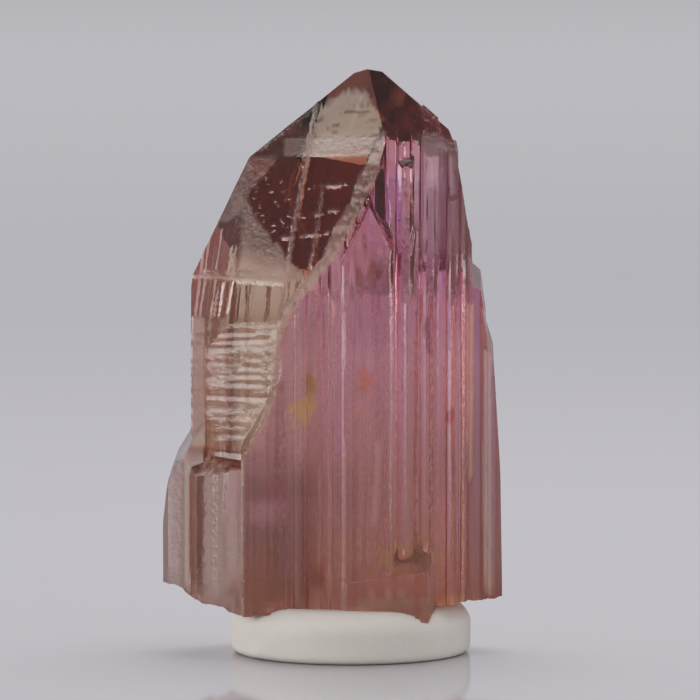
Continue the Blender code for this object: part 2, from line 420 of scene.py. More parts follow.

# Colours of the zones, among them painted shades and painted highlights, which are squared before the finish
# reads them
VIOLET = (0.90, 0.52, 1.0)
MAROON = (0.55, 0.22, 0.26)
BROWN = (0.66, 0.38, 0.28)
CREAM = (1.0, 0.96, 0.90)
LEG_GREY = (0.78, 0.70, 0.70)
SHOULDER_LILAC = (1.0, 0.82, 1.0)
FOOT_DUSK = (0.62, 0.53, 0.53)
EDGE_ROSE = (1.0, 0.66, 0.70)
EDGE_TAN = (0.86, 0.66, 0.58)
WINDOW_WARM = (0.77, 0.68, 0.56)
DASH_BROWN = (0.34, 0.14, 0.11)
BAND_CREAM = (1.0, 0.94, 0.86)
# Partly the tip's own red-brown colour, partly painted shade for its dark cap
TIP_RED_SHADE = (0.28, 0.06, 0.03)
# Painted shade: the brown of the window's dark zone, where light is turned back inside the crystal
DARK_ZONE_SHADE_BROWN = (0.80, 0.32, 0.18)
VEIL_CREAM = (1.0, 0.90, 0.80)
# Partly the ridge's own frosted cream, partly painted highlight on its lumps
CREST_WHITE_HIGHLIGHT = (1.0, 0.96, 0.93)
STEP_BROWN = (0.62, 0.48, 0.36)
SQUARE_BROWN = (0.74, 0.58, 0.50)
RIM_CREAM = (1.0, 0.93, 0.84)
# Painted shade: the right side columns are made darker and greyer
RIGHT_FLANK_SHADE = (0.72, 0.66, 0.66)

# Roughness of the faces: as grown, and the least and the most that any face has
POLISHED = 0.03
LEAST_ROUGH = 0.02
MOST_ROUGH = 0.6

# Noises of the columns' relief
BROAD_RIBS = Grain(0.05, 0.0014, 11.0)
MIDDLE_RIBS = Grain(0.12, 0.004, 12.0)
FINE_RIBS = Grain(0.17, 0.006, 13.0)
BREAKS = Grain(0.12, 0.035, 14.0)
NUB_LUMPS = Grain(0.07, 0.09, 19.0)
NUB_GRIT = Grain(0.17, 0.2, 20.0)
PANEL_SWAY = Grain(0.02, 0.006, 41.0)

# Noises of the window's relief
RIDGE_LUMPS = Grain(0.05, 0.12, 15.0)
RIDGE_GRIT = Grain(0.2, 0.32, 16.0)
GROWTH_STEPS = Grain(0.012, 0.16, 17.0)
RIPPLE = Grain(0.03, 0.05, 18.0)

# Noises of the colours
DRIFT = Grain(0.045, 0.004, 21.0)
STREAKS = Grain(0.10, 0.0035, 22.0)
FINE_STREAKS = Grain(0.17, 0.010, 23.0)
EDGE_LINES = Grain(0.13, 0.004, 24.0)
DASHES = Grain(0.07, 0.28, 25.0)
STEP_LINES = Grain(0.02, 0.40, 27.0)
STEP_GRIT = Grain(0.09, 0.36, 28.0)
FLECKS_LAYER = 26.0

# Places of single features in the picture
CREAM_BAND = Box((284.0, 380.0), (139.0, 158.0), 3.0, 2.0)
DASHED_BAND = Box((318.0, 372.0), (108.0, 137.0), 5.0, 4.0)
SQUARES_BOX = Box((214.0, 262.0), (350.0, 394.0))
NUB_COLUMNS = (343.0, 432.0)
LOWER_WINDOW_ROWS = (318.0, 446.0)
UPPER_COLUMNS_ROWS = (380.0, 250.0)
RIDGE_ROWS = (136.0, 440.0)
PANEL_ENDS = (160.0, 510.0)


@dataclass
class Coat:
    """Points of the surface in the picture, with the colour and the roughness that are laid on them."""

    columns: np.ndarray
    rows: np.ndarray
    fray: np.ndarray
    border: np.ndarray
    in_columns: np.ndarray = field(init=False)
    colour: np.ndarray = field(init=False)
    rough: np.ndarray = field(init=False)

    def __post_init__(self) -> None:
        """Starts colourless and polished, and works out which points are right of the border."""
        self.in_columns = rise(self.columns + self.fray * 2.0, self.border - 1.0, self.border + 2.0)
        self.colour = np.ones((len(self.columns), 3))
        self.rough = np.full(len(self.columns), POLISHED)

    def lay(
        self,
        shade: np.ndarray | tuple[float, float, float],
        share: np.ndarray,
        strength: float = 1.0,
        frosted: float = 0.0,
    ) -> None:
        """Mixes a colour in, and roughens the face.

        Args:
            shade: The colour, one for all points or one for each point.
            share: How much each point takes of it, from 0 to 1.
            strength: How much of the colour a full share brings.
            frosted: How much roughness a full share adds.
        """
        self.colour += (np.array(shade) - self.colour) * (share * strength)[:, None]
        self.rough += share * frosted

    def stain(self, shade: tuple[float, float, float], share: np.ndarray, frosted: float = 0.0) -> None:
        """Darkens the colour by a shade, and roughens the face.

        Args:
            shade: What a full share leaves of the colour.
            share: How much each point takes of it, from 0 to 1.
            frosted: How much roughness a full share adds.
        """
        self.colour *= 1.0 - share[:, None] * (1.0 - np.array(shade))
        self.rough += share * frosted


@dataclass(frozen=True)
class GrowthZones:
    """Where the crystal's zones, lines and flaws lie, as they show in the photograph."""

    border: tuple[tuple[float, float], ...] = (
        (60.0, 372.0), (90.0, 372.0), (118.0, 376.0), (138.0, 385.0), (170.0, 379.0), (205.0, 364.0),
        (235.0, 349.0), (260.0, 334.0), (285.0, 314.0), (305.0, 297.0), (325.0, 287.0), (350.0, 280.0),
        (390.0, 276.0), (425.0, 265.0), (455.0, 246.0), (470.0, 244.0), (640.0, 243.0),
    )
    ridge_width: tuple[tuple[float, float], ...] = (
        (120.0, 3.0), (140.0, 6.0), (180.0, 15.0), (210.0, 12.0), (235.0, 16.0), (255.0, 10.0),
        (270.0, 8.0), (300.0, 7.0), (325.0, 5.0), (350.0, 3.0), (455.0, 2.5),
    )
    column_tints: tuple[tuple[float, tuple[float, float, float]], ...] = (
        (70.0, (1.0, 0.43, 0.32)),
        (125.0, (0.96, 0.42, 0.40)),
        (150.0, (0.84, 0.38, 0.48)),
        (182.0, (0.98, 0.58, 0.84)),
        (220.0, (1.0, 0.64, 0.92)),
        (270.0, (0.96, 0.60, 0.90)),
        (360.0, (0.98, 0.74, 0.98)),
        (460.0, (0.86, 0.61, 0.70)),
        (540.0, (0.80, 0.55, 0.58)),
        (590.0, (0.80, 0.48, 0.42)),
        (625.0, (0.90, 0.66, 0.58)),
    )
    patches: tuple[Patch, ...] = (
        Patch(392, 208, 11, 34, VIOLET, 0.85),
        Patch(371, 232, 8, 26, VIOLET, 0.85),
        Patch(339, 432, 7, 30, (0.92, 0.60, 0.95), 0.6),
        Patch(359, 403, 9, 9, (0.92, 0.60, 0.95), 0.6),
        Patch(374, 270, 7, 9, MAROON, 0.9, 0.4, 0.7),
        Patch(358, 271, 4, 14, MAROON, 0.8, 0.4, 0.7),
        Patch(388, 281, 4, 10, MAROON, 0.8, 0.4, 0.7),
        Patch(380, 172, 3, 34, MAROON, 0.6),
        Patch(427, 332, 3, 24, (0.50, 0.24, 0.42), 0.8, 0.3, 0.6),
        Patch(370, 325, 22, 28, (0.82, 0.54, 0.86), 0.6),
        Patch(366, 381, 8, 11, (0.98, 0.46, 0.38), 0.6),
        Patch(309, 386, 8, 9, (0.72, 0.52, 0.26), 0.9, 0.2, 0.6),
        # Painted highlight: the golden spot of light below the brown inclusion
        Patch(304, 408, 10, 10, (1.0, 0.80, 0.46), 0.9, 0.2, 0.9),
        Patch(449, 415, 4, 7, (0.62, 0.20, 0.22), 0.8, 0.3),
        Patch(276, 490, 16, 5, MAROON, 0.55),
        Patch(265, 512, 22, 10, (0.95, 0.62, 0.82), 0.4),
        Patch(265, 555, 14, 16, (0.50, 0.26, 0.22), 0.7),
        Patch(268, 587, 34, 18, (0.50, 0.25, 0.17), 0.8),
        Patch(317, 577, 9, 10, (0.56, 0.26, 0.18), 0.8),
        Patch(404, 556, 25, 14, (0.76, 0.55, 0.36), 0.95, 0.35, 1.1),
        Patch(340, 545, 22, 18, (0.86, 0.56, 0.46), 0.5),
        Patch(447, 602, 18, 4, (1.0, 0.66, 0.40), 0.8),
        Patch(390, 606, 40, 12, (0.98, 0.86, 0.78), 0.85, 0.3),
    )
    seams: tuple[Seam, ...] = (
        Seam((318, 100), (308, 159), 1.5, CREAM, 0.8, 0.03, 0.35),
        Seam((308, 159), (301, 195), 1.6, CREAM, 0.8, 0.05, 0.4),
        Seam((301, 195), (289, 268), 1.6, CREAM, 0.8, 0.05, 0.4),
        Seam((324, 192), (312, 270), 1.5, CREAM, 0.7, 0.03, 0.3),
        Seam((306, 190), (352, 187), 0.9, CREAM, 0.7, 0.012, 0.4),
        Seam((329, 214), (351, 211), 0.9, CREAM, 0.9, 0.012, 0.45),
        Seam((302, 219), (326, 216), 0.9, CREAM, 0.6, 0.012, 0.35),
        Seam((281, 240), (330, 235), 0.9, CREAM, 0.7, 0.012, 0.4),
        Seam((250, 169), (243, 215), 2.2, BROWN, 0.9, -0.03),
        Seam((243, 215), (237, 268), 2.2, BROWN, 0.9, -0.03),
        Seam((232, 280), (225, 319), 2.0, (0.60, 0.34, 0.18), 0.85, -0.02),
        Seam((222, 283), (217, 318), 1.6, (0.66, 0.40, 0.26), 0.8, -0.02),
        Seam((194, 277), (285, 283), 1.6, CREAM, 0.8, 0.03, 0.4),
        Seam((196, 271), (260, 276), 1.1, CREAM, 0.6, 0.02, 0.3),
        Seam((196, 334), (255, 334), 1.5, (0.72, 0.50, 0.36), 0.8, -0.02),
        Seam((196, 344), (272, 340), 1.4, (0.80, 0.62, 0.50), 0.7, -0.02),
        Seam((204, 349), (236, 349), 1.5, (0.46, 0.28, 0.20), 0.8, -0.02),
        Seam((206, 348), (206, 396), 1.5, (0.80, 0.52, 0.30), 0.8, -0.02),
        Seam((206, 396), (270, 398), 1.5, (0.70, 0.46, 0.36), 0.85, -0.02),
        Seam((190, 450), (244, 455), 4.5, (0.62, 0.40, 0.34), 0.85, -0.02),
        # The cream lines at columns 188, 469 and 487 are frosted edges and grooves, and their pale colour is
        # also painted highlight
        Seam((188, 465), (188, 583), 2.0, CREAM, 0.8, 0.04, 0.45),
        Seam((469, 305), (469, 480), 2.0, CREAM, 0.9, 0.07, 0.25, True),
        Seam((487, 350), (488, 590), 2.6, CREAM, 0.85, 0.085, 0.3, True),
        # The small facets that face the right-hand lamp are real relief; their pale colours are painted
        # glints
        Seam((236, 468), (231, 515), 4.5, (1.0, 0.84, 0.96), 0.9, 0.10, 0.2, True),
        Seam((447, 152), (447, 190), 2.0, (1.0, 0.86, 0.94), 0.9, 0.07, 0.05, True),
        Seam((440, 150), (440, 188), 1.5, (1.0, 0.86, 0.94), 0.8, 0.05, 0.05, True),
        Seam((416, 232), (407, 300), 2.6, (1.0, 0.86, 0.98), 0.9, 0.09, 0.05, True),
        Seam((450, 236), (451, 305), 1.8, (1.0, 0.88, 0.98), 0.9, 0.065, 0.05, True),
        Seam((441, 230), (442, 290), 1.2, (0.84, 0.50, 1.0), 0.9, 0.0, 0.1),
        Seam((330, 300), (330, 600), 1.8, (1.0, 0.80, 0.86), 0.4, 0.02, 0.08),
        # A small facet that faces the right-hand lamp, with a painted glint in its pale colour
        Seam((378, 440), (374, 520), 2.6, (1.0, 0.84, 0.92), 0.6, 0.04, 0.08, True),
        Seam((297, 330), (297, 600), 2.0, (0.98, 0.84, 0.84), 0.4, 0.02, 0.08),
    )
    panel_edges: tuple[float, ...] = (
        252.0, 262.0, 279.0, 294.0, 306.0, 319.0, 330.0, 345.0, 354.0, 365.0, 378.0, 387.0, 395.0,
        404.0, 412.0, 420.0, 427.0, 434.0, 441.0, 450.0, 455.0, 466.0, 474.0, 482.0, 491.0,
    )
    panel_seed: int = 8
    tip_edge: tuple[tuple[float, float], ...] = (
        (262.0, 152.0), (285.0, 133.0), (300.0, 123.0), (318.0, 111.0), (348.0, 94.0), (366.0, 97.0),
        (374.0, 112.0), (390.0, 128.0),
    )
    window_left: tuple[tuple[float, float], ...] = (
        (118.0, 295.0), (147.0, 262.0), (171.0, 247.0), (188.0, 234.0), (217.0, 220.0), (266.0, 198.0),
        (302.0, 191.0), (413.0, 190.0), (445.0, 186.0), (486.0, 167.0), (585.0, 163.0),
    )

    def curve(self, name: str, places: np.ndarray) -> np.ndarray:
        """Reads one of the curves that are given by points.

        Args:
            name: The field that holds the curve.
            places: The rows at which it is read, or the columns in the case of tip_edge.

        Returns:
            The curve's value at each place.
        """
        points = getattr(self, name)
        return np.interp(places, [point[0] for point in points], [point[1] for point in points])

    def panels(self, columns: np.ndarray, rows: np.ndarray) -> tuple[np.ndarray, np.ndarray, np.ndarray]:
        """Splits the columns' front into the flat upright panels between its main striae.

        Args:
            columns: The points' places across the picture.
            rows: The points' places down the picture.

        Returns:
            Each point's place in its panel from -0.5 to 0.5, and its panel's two numbers from -1 to 1.
        """
        edges = np.array((PANEL_ENDS[0], *self.panel_edges, PANEL_ENDS[1]))
        swayed = columns + PANEL_SWAY.read(columns, rows) * 3.0
        index = np.clip(np.searchsorted(edges, swayed) - 1, 0, len(edges) - 2)
        within = (swayed - edges[index]) / (edges[index + 1] - edges[index]) - 0.5
        chance = random.Random(self.panel_seed)
        first = np.array([chance.uniform(-1.0, 1.0) for _ in edges])
        second = np.array([chance.uniform(-1.0, 1.0) for _ in edges])
        return within, first[index], second[index]

    def ridge(self, columns: np.ndarray, rows: np.ndarray) -> np.ndarray:
        """Says where the raised, broken ridge between the window and the columns is.

        Args:
            columns: The points' places across the picture.
            rows: The points' places down the picture.

        Returns:
            1 on the ridge and 0 away from it.
        """
        border, width = self.curve("border", rows), self.curve("ridge_width", rows)
        return band(columns, border - width, border, 2.0) * band(rows, *RIDGE_ROWS, 8.0)

    def squares(self, columns: np.ndarray, rows: np.ndarray) -> tuple[np.ndarray, np.ndarray]:
        """Draws the nested growth squares of the lower window.

        Args:
            columns: The points' places across the picture.
            rows: The points' places down the picture.

        Returns:
            The squares' waves from -1 to 1, and where the squares are, from 0 to 1.
        """
        away = np.maximum(np.abs(columns - 262.0) * 1.1, np.abs(rows - 345.0))
        return np.sin(away * 0.75), SQUARES_BOX.share(columns, rows)

    def lift(self, columns: np.ndarray, rows: np.ndarray, zone: Zone) -> np.ndarray:
        """Works out the relief of the front, in millimetres outwards.

        Args:
            columns: The points' places across the picture.
            rows: The points' places down the picture.
            zone: Which of the two growth zones is asked for.

        Returns:
            The relief at each point.
        """
        if zone is Zone.COLUMNS:
            high = rise(rows, *UPPER_COLUMNS_ROWS)
            within, level, tilt = self.panels(columns, rows)
            nub = NUB_LUMPS.read(columns, rows) + 0.5 * NUB_GRIT.read(columns, rows)
            nub *= band(columns, *NUB_COLUMNS, 6.0) * rise(rows, 585.0, 597.0)
            ribs = BROAD_RIBS.read(columns, rows) * 0.03
            ribs += MIDDLE_RIBS.read(columns, rows) * (0.004 + 0.026 * high)
            ribs += FINE_RIBS.read(columns, rows) * 0.014 * high
            breaks = BREAKS.read(columns, rows) * high
            return ribs + level * 0.012 + within * tilt * 0.05 + breaks * 0.035 + nub * 0.07
        lumps = 0.5 + 0.7 * RIDGE_LUMPS.read(columns, rows) + 0.6 * RIDGE_GRIT.read(columns, rows)
        raised = self.ridge(columns, rows) * lumps * 0.17
        levels = np.round(GROWTH_STEPS.read(columns, rows) * 5.0) / 5.0
        waves, squared = self.squares(columns, rows)
        lower = band(rows, *LOWER_WINDOW_ROWS, 3.0)
        ripple = RIPPLE.read(columns, rows) * 0.012
        return raised + lower * (levels * 0.009 + waves * squared * 0.006) + ripple

    def tint(self, columns: np.ndarray, rows: np.ndarray, fray: np.ndarray) -> tuple[np.ndarray, np.ndarray]:
        """Works out the colour that the front lends to the light, with painted shade and painted highlights
        among it, and how frosted the face is.

        Args:
            columns: The points' places across the picture.
            rows: The points' places down the picture.
            fray: Noise about 0 for ragged edges.

        Returns:
            The colour and the roughness at each point.
        """
        coat = Coat(columns, rows, fray, self.curve("border", rows))
        flecks = wander(columns * 0.14 + rows * 0.16, rows * 0.36 - columns * 0.10, FLECKS_LAYER)
        self._tint_columns(coat)
        self._tint_left_edge(coat)
        for patch in self.patches:
            coat.lay(patch.colour, patch.share(columns, rows, fray * 2.2))
        self._tint_upper_window(coat, flecks)
        self._tint_lower_window(coat)
        etched = rise(rows, 455.0, 470.0) * rise(columns, 189.0, 185.0)
        coat.rough += etched * (0.30 + 0.25 * flecks)
        foot = rise(rows, 560.0, 600.0)
        coat.rough += foot * 0.18
        # Painted shade: the side columns on the right are darkened and greyed; the added roughness is real
        coat.stain(RIGHT_FLANK_SHADE, rise(columns, 463.0, 468.0), 0.12)
        for seam in self.seams:
            share = seam.share(columns + fray * 0.5, rows + fray * 0.5)
            coat.lay(seam.colour, share, seam.strength, seam.frosted)
        return np.clip(coat.colour, 0.0, 1.0), np.clip(coat.rough, LEAST_ROUGH, MOST_ROUGH)

    def _tint_columns(self, coat: Coat) -> None:
        """Lays on the colours of the striated columns, which change with height and from panel to panel."""
        columns, rows = coat.columns, coat.rows
        high = rise(rows, *UPPER_COLUMNS_ROWS)
        levels = [level for level, _ in self.column_tints]
        shades = np.array([shade for _, shade in self.column_tints])
        drifted = rows + DRIFT.read(columns, rows) * 22.0
        zoned = np.stack([np.interp(drifted, levels, shades[:, part]) for part in range(3)], axis=1)
        _, deep_panel, warm_panel = self.panels(columns, rows)
        streaked = 0.08 * rise(STREAKS.read(columns, rows), -0.05, 0.5)
        streaked = streaked + 0.10 * high * rise(FINE_STREAKS.read(columns, rows), 0.0, 0.5)
        zoned *= (1.0 - streaked - 0.05 * (1.0 + deep_panel))[:, None] ** np.array([0.7, 1.4, 1.0])
        zoned *= 1.0 + (warm_panel * 0.5)[:, None] * np.array([0.0, -0.03, -0.08])
        coat.lay(zoned, coat.in_columns)
        coat.rough += coat.in_columns * (0.16 - 0.09 * high)
        leg = rise(rows, 452.0, 462.0) * rise(columns, 246.0, 240.0)
        coat.lay(LEG_GREY, leg, 1.0, 0.14)
        shoulder = rise(columns, 405.0, 425.0) * rise(rows, 270.0, 240.0) * rise(rows, 132.0, 150.0)
        coat.lay(SHOULDER_LILAC, shoulder, 0.6, 0.30)
        low_left = coat.in_columns * rise(columns, 322.0, 300.0) * rise(rows, 440.0, 490.0)
        coat.stain(FOOT_DUSK, low_left)

    def _tint_left_edge(self, coat: Coat) -> None:
        """Lays on the pink left edge of the window, with its tan lines and its frosted upper end."""
        rows = coat.rows
        inwards = coat.columns - self.curve("window_left", rows)
        in_window = 1.0 - coat.in_columns
        slant = (rows - 160.0) * 0.16
        upper = band(rows, 156.0, 222.0, 8.0) * in_window
        upper *= rise(inwards, 30.0 - slant, 18.0 - slant)
        coat.rough += upper * 0.42
        edge = band(rows, 150.0, 450.0, 20.0) * in_window
        coat.lay(EDGE_ROSE, edge * rise(inwards, 16.0, 6.0), 0.7)
        strip = edge * band(rows, 170.0, 316.0, 8.0) * rise(inwards, 52.0, 40.0)
        coat.lay(EDGE_TAN, strip * rise(EDGE_LINES.read(inwards, rows), 0.0, 0.3), 0.8)

    def _tint_upper_window(self, coat: Coat, flecks: np.ndarray) -> None:
        """Lays on the window's dashes, cream band, red-brown tip with painted shade, dark zone of painted
        shade, veil and pale ridge with painted highlights.

        Args:
            coat: The coat to lay them on.
            flecks: Noise that breaks the frosting up.
        """
        columns, rows = coat.columns, coat.rows
        in_window = 1.0 - coat.in_columns
        warm = in_window * rise(rows, 462.0, 450.0)
        warm *= 1.0 - 0.5 * band(rows, 225.0, 316.0, 6.0)
        coat.stain(WINDOW_WARM, warm)
        dashed = DASHED_BAND.share(columns, rows) * rise(DASHES.read(columns, rows), 0.24, 0.40)
        coat.lay(DASH_BROWN, dashed, 0.85)
        coat.lay(BAND_CREAM, CREAM_BAND.share(columns, rows), 0.9, 0.35)
        # The tip's red-brown is partly its own colour and partly painted shade, darkest where its back faces
        # turn light away
        tip_rows = self.curve("tip_edge", columns)
        tip = rise(rows, tip_rows + 2.0, tip_rows - 2.0) * rise(columns, 402.0, 388.0)
        tip *= 0.35 + 0.57 * rise(columns, 316.0, 328.0)
        coat.lay(TIP_RED_SHADE, tip)
        coat.rough += tip * rise(columns, 322.0, 314.0) * 0.9
        # Painted shade: the dark brown zone below the window's top, in place of light turned back inside the
        # crystal
        shore = 205.0 + (columns - 250.0) * 1.35 + coat.fray * 8.0
        painted_dark_zone = rise(rows, 158.0, 163.0) * rise(rows, shore + 4.0, shore - 4.0) * in_window
        painted_dark_zone *= band(columns, 250.0, coat.border - 12.0, 3.0)
        coat.lay(DARK_ZONE_SHADE_BROWN, painted_dark_zone, 0.95)
        away = np.hypot((columns - 272.0) / 20.0, (rows - 212.0) / 48.0)
        coat.rough += rise(away, 1.25, 0.7) * rise(flecks, 0.26, 0.42) * 0.26
        pale = rise(rows, shore - 4.0, shore + 6.0) * rise(rows, 290.0, 270.0) * in_window
        pale *= rise(columns, 232.0, 246.0)
        coat.lay(VEIL_CREAM, pale, 0.8, 0.38)
        # The ridge's pale colour is partly its frosted cream and partly painted highlight; its roughness is
        # real
        coat.lay(CREST_WHITE_HIGHLIGHT, self.ridge(columns, rows), 0.95, 0.52)

    def _tint_lower_window(self, coat: Coat) -> None:
        """Lays on the brown growth lines, the nested squares and the cream rim of the lower window."""
        columns, rows = coat.columns, coat.rows
        lower = band(rows, *LOWER_WINDOW_ROWS, 3.0) * (1.0 - coat.in_columns)
        growth = STEP_LINES.read(columns, rows) + 0.5 * STEP_GRIT.read(columns, rows)
        coat.lay(STEP_BROWN, lower * rise(growth, 0.20, 0.46), 0.7)
        waves, squared = self.squares(columns, rows)
        coat.lay(SQUARE_BROWN, rise(waves, 0.55, 0.95) * squared, 0.6)
        coat.lay(RIM_CREAM, band(columns, 193.0, 205.0, 1.5) * lower, 0.9, 0.3)
        coat.rough += lower * 0.10


@dataclass(frozen=True)
class ClearTanzanite:
    """The see-through finish of the crystal, whose colours come from the piece's own attribute."""

    ior: float = 1.69
    absorbed: tuple[float, float, float] = (0.75, 0.35, 0.06)
    density: float = 125.0
    stretch: float = 0.03
    striae_mm: float = 0.014
    pits_mm: float = 0.10
    attribute: str = "growth_zones"

    def make(self) -> bpy.types.Material:
        """Makes the material.

        Returns:
            The finished material.
        """
        recipe = Recipe(bpy.data.materials.new("pink_tanzanite"))
        recipe.shader.inputs["Transmission Weight"].default_value = 1.0
        recipe.shader.inputs["IOR"].default_value = self.ior
        inputs = {"Color": self.absorbed, "Density": self.density}
        volume = recipe.node("ShaderNodeVolumeAbsorption", None, inputs, "Volume")
        recipe.feed(recipe.tree.nodes["Material Output"].inputs["Volume"], volume)
        zones = recipe.node("ShaderNodeAttribute", {"attribute_name": self.attribute}, None, "Color")
        recipe.feed(recipe.shader.inputs["Base Color"], zones)
        recipe.feed(recipe.shader.inputs["Roughness"], zones.other("Alpha"))
        place = recipe.place_mm()
        x = recipe.node("ShaderNodeSeparateXYZ", None, {0: place}, "X")
        striae = recipe.grain(recipe.vector(x, x.other("Y"), x.other("Z") * self.stretch), 2.4, 1.5)
        pits = recipe.grain(place, 4.2, 3.0, 0.6)
        recipe.bump(striae * self.striae_mm + pits * zones.other("Alpha") * self.pits_mm, 1.0)
        return recipe.owner


@dataclass(frozen=True)
class DisplayPutty:
    """The matt off-white finish of the putty."""

    colour: tuple[float, float, float] = (0.86, 0.83, 0.765)
    shaded: tuple[float, float, float] = (0.80, 0.755, 0.68)
    specks: tuple[float, float, float] = (0.62, 0.57, 0.50)
    roughness: float = 0.62
    scattered: float = 0.25
    scatter_mm: float = 0.4

    def make(self) -> bpy.types.Material:
        """Makes the material.

        Returns:
            The finished material.
        """
        recipe = Recipe(bpy.data.materials.new("white_putty"))
        place = recipe.place_mm()
        cloud = recipe.grain(place, 0.55, 3.0)
        speck = recipe.grain(place, 5.0, 4.0, 0.65)
        colour = recipe.blend(self.colour, self.shaded, (cloud - 0.5) * 0.5 + 0.5)
        colour = recipe.blend(colour, self.specks, speck.past(0.62, 0.75) * 0.25)
        recipe.feed(recipe.shader.inputs["Base Color"], colour)
        recipe.feed(recipe.shader.inputs["Roughness"], self.roughness + (speck - 0.5) * 0.2)
        recipe.shader.inputs["Subsurface Weight"].default_value = self.scattered
        recipe.shader.inputs["Subsurface Radius"].default_value = (1.0, 0.8, 0.6)
        recipe.shader.inputs["Subsurface Scale"].default_value = self.scatter_mm * MM
        recipe.bump(recipe.grain(place, 0.9, 3.0) * 0.16 + speck * 0.012, 0.6)
        return recipe.owner


class Points:
    """The points of a surface: their places, where they show in the picture and how they face."""

    def __init__(self, mesh: bpy.types.Mesh) -> None:
        """Reads the points of a mesh.

        Args:
            mesh: The mesh, in metres.
        """
        places, normals = np.empty(len(mesh.vertices) * 3), np.empty(len(mesh.vertices) * 3)
        mesh.vertices.foreach_get("co", places)
        mesh.vertices.foreach_get("normal", normals)
        self.places, self.normals = places.reshape(-1, 3), normals.reshape(-1, 3)
        self.x, self.y, self.z = self.places.T / MM
        turn = math.radians(PICTURE.elevation)
        up = (self.z * math.cos(turn) + self.y * math.sin(turn)) / PICTURE.mm_per_pixel
        self.columns = self.x / PICTURE.mm_per_pixel + PICTURE.middle_column
        self.rows = PICTURE.ground_row - up
        self.front = rise(self.normals[:, 1], 0.25, -0.25)


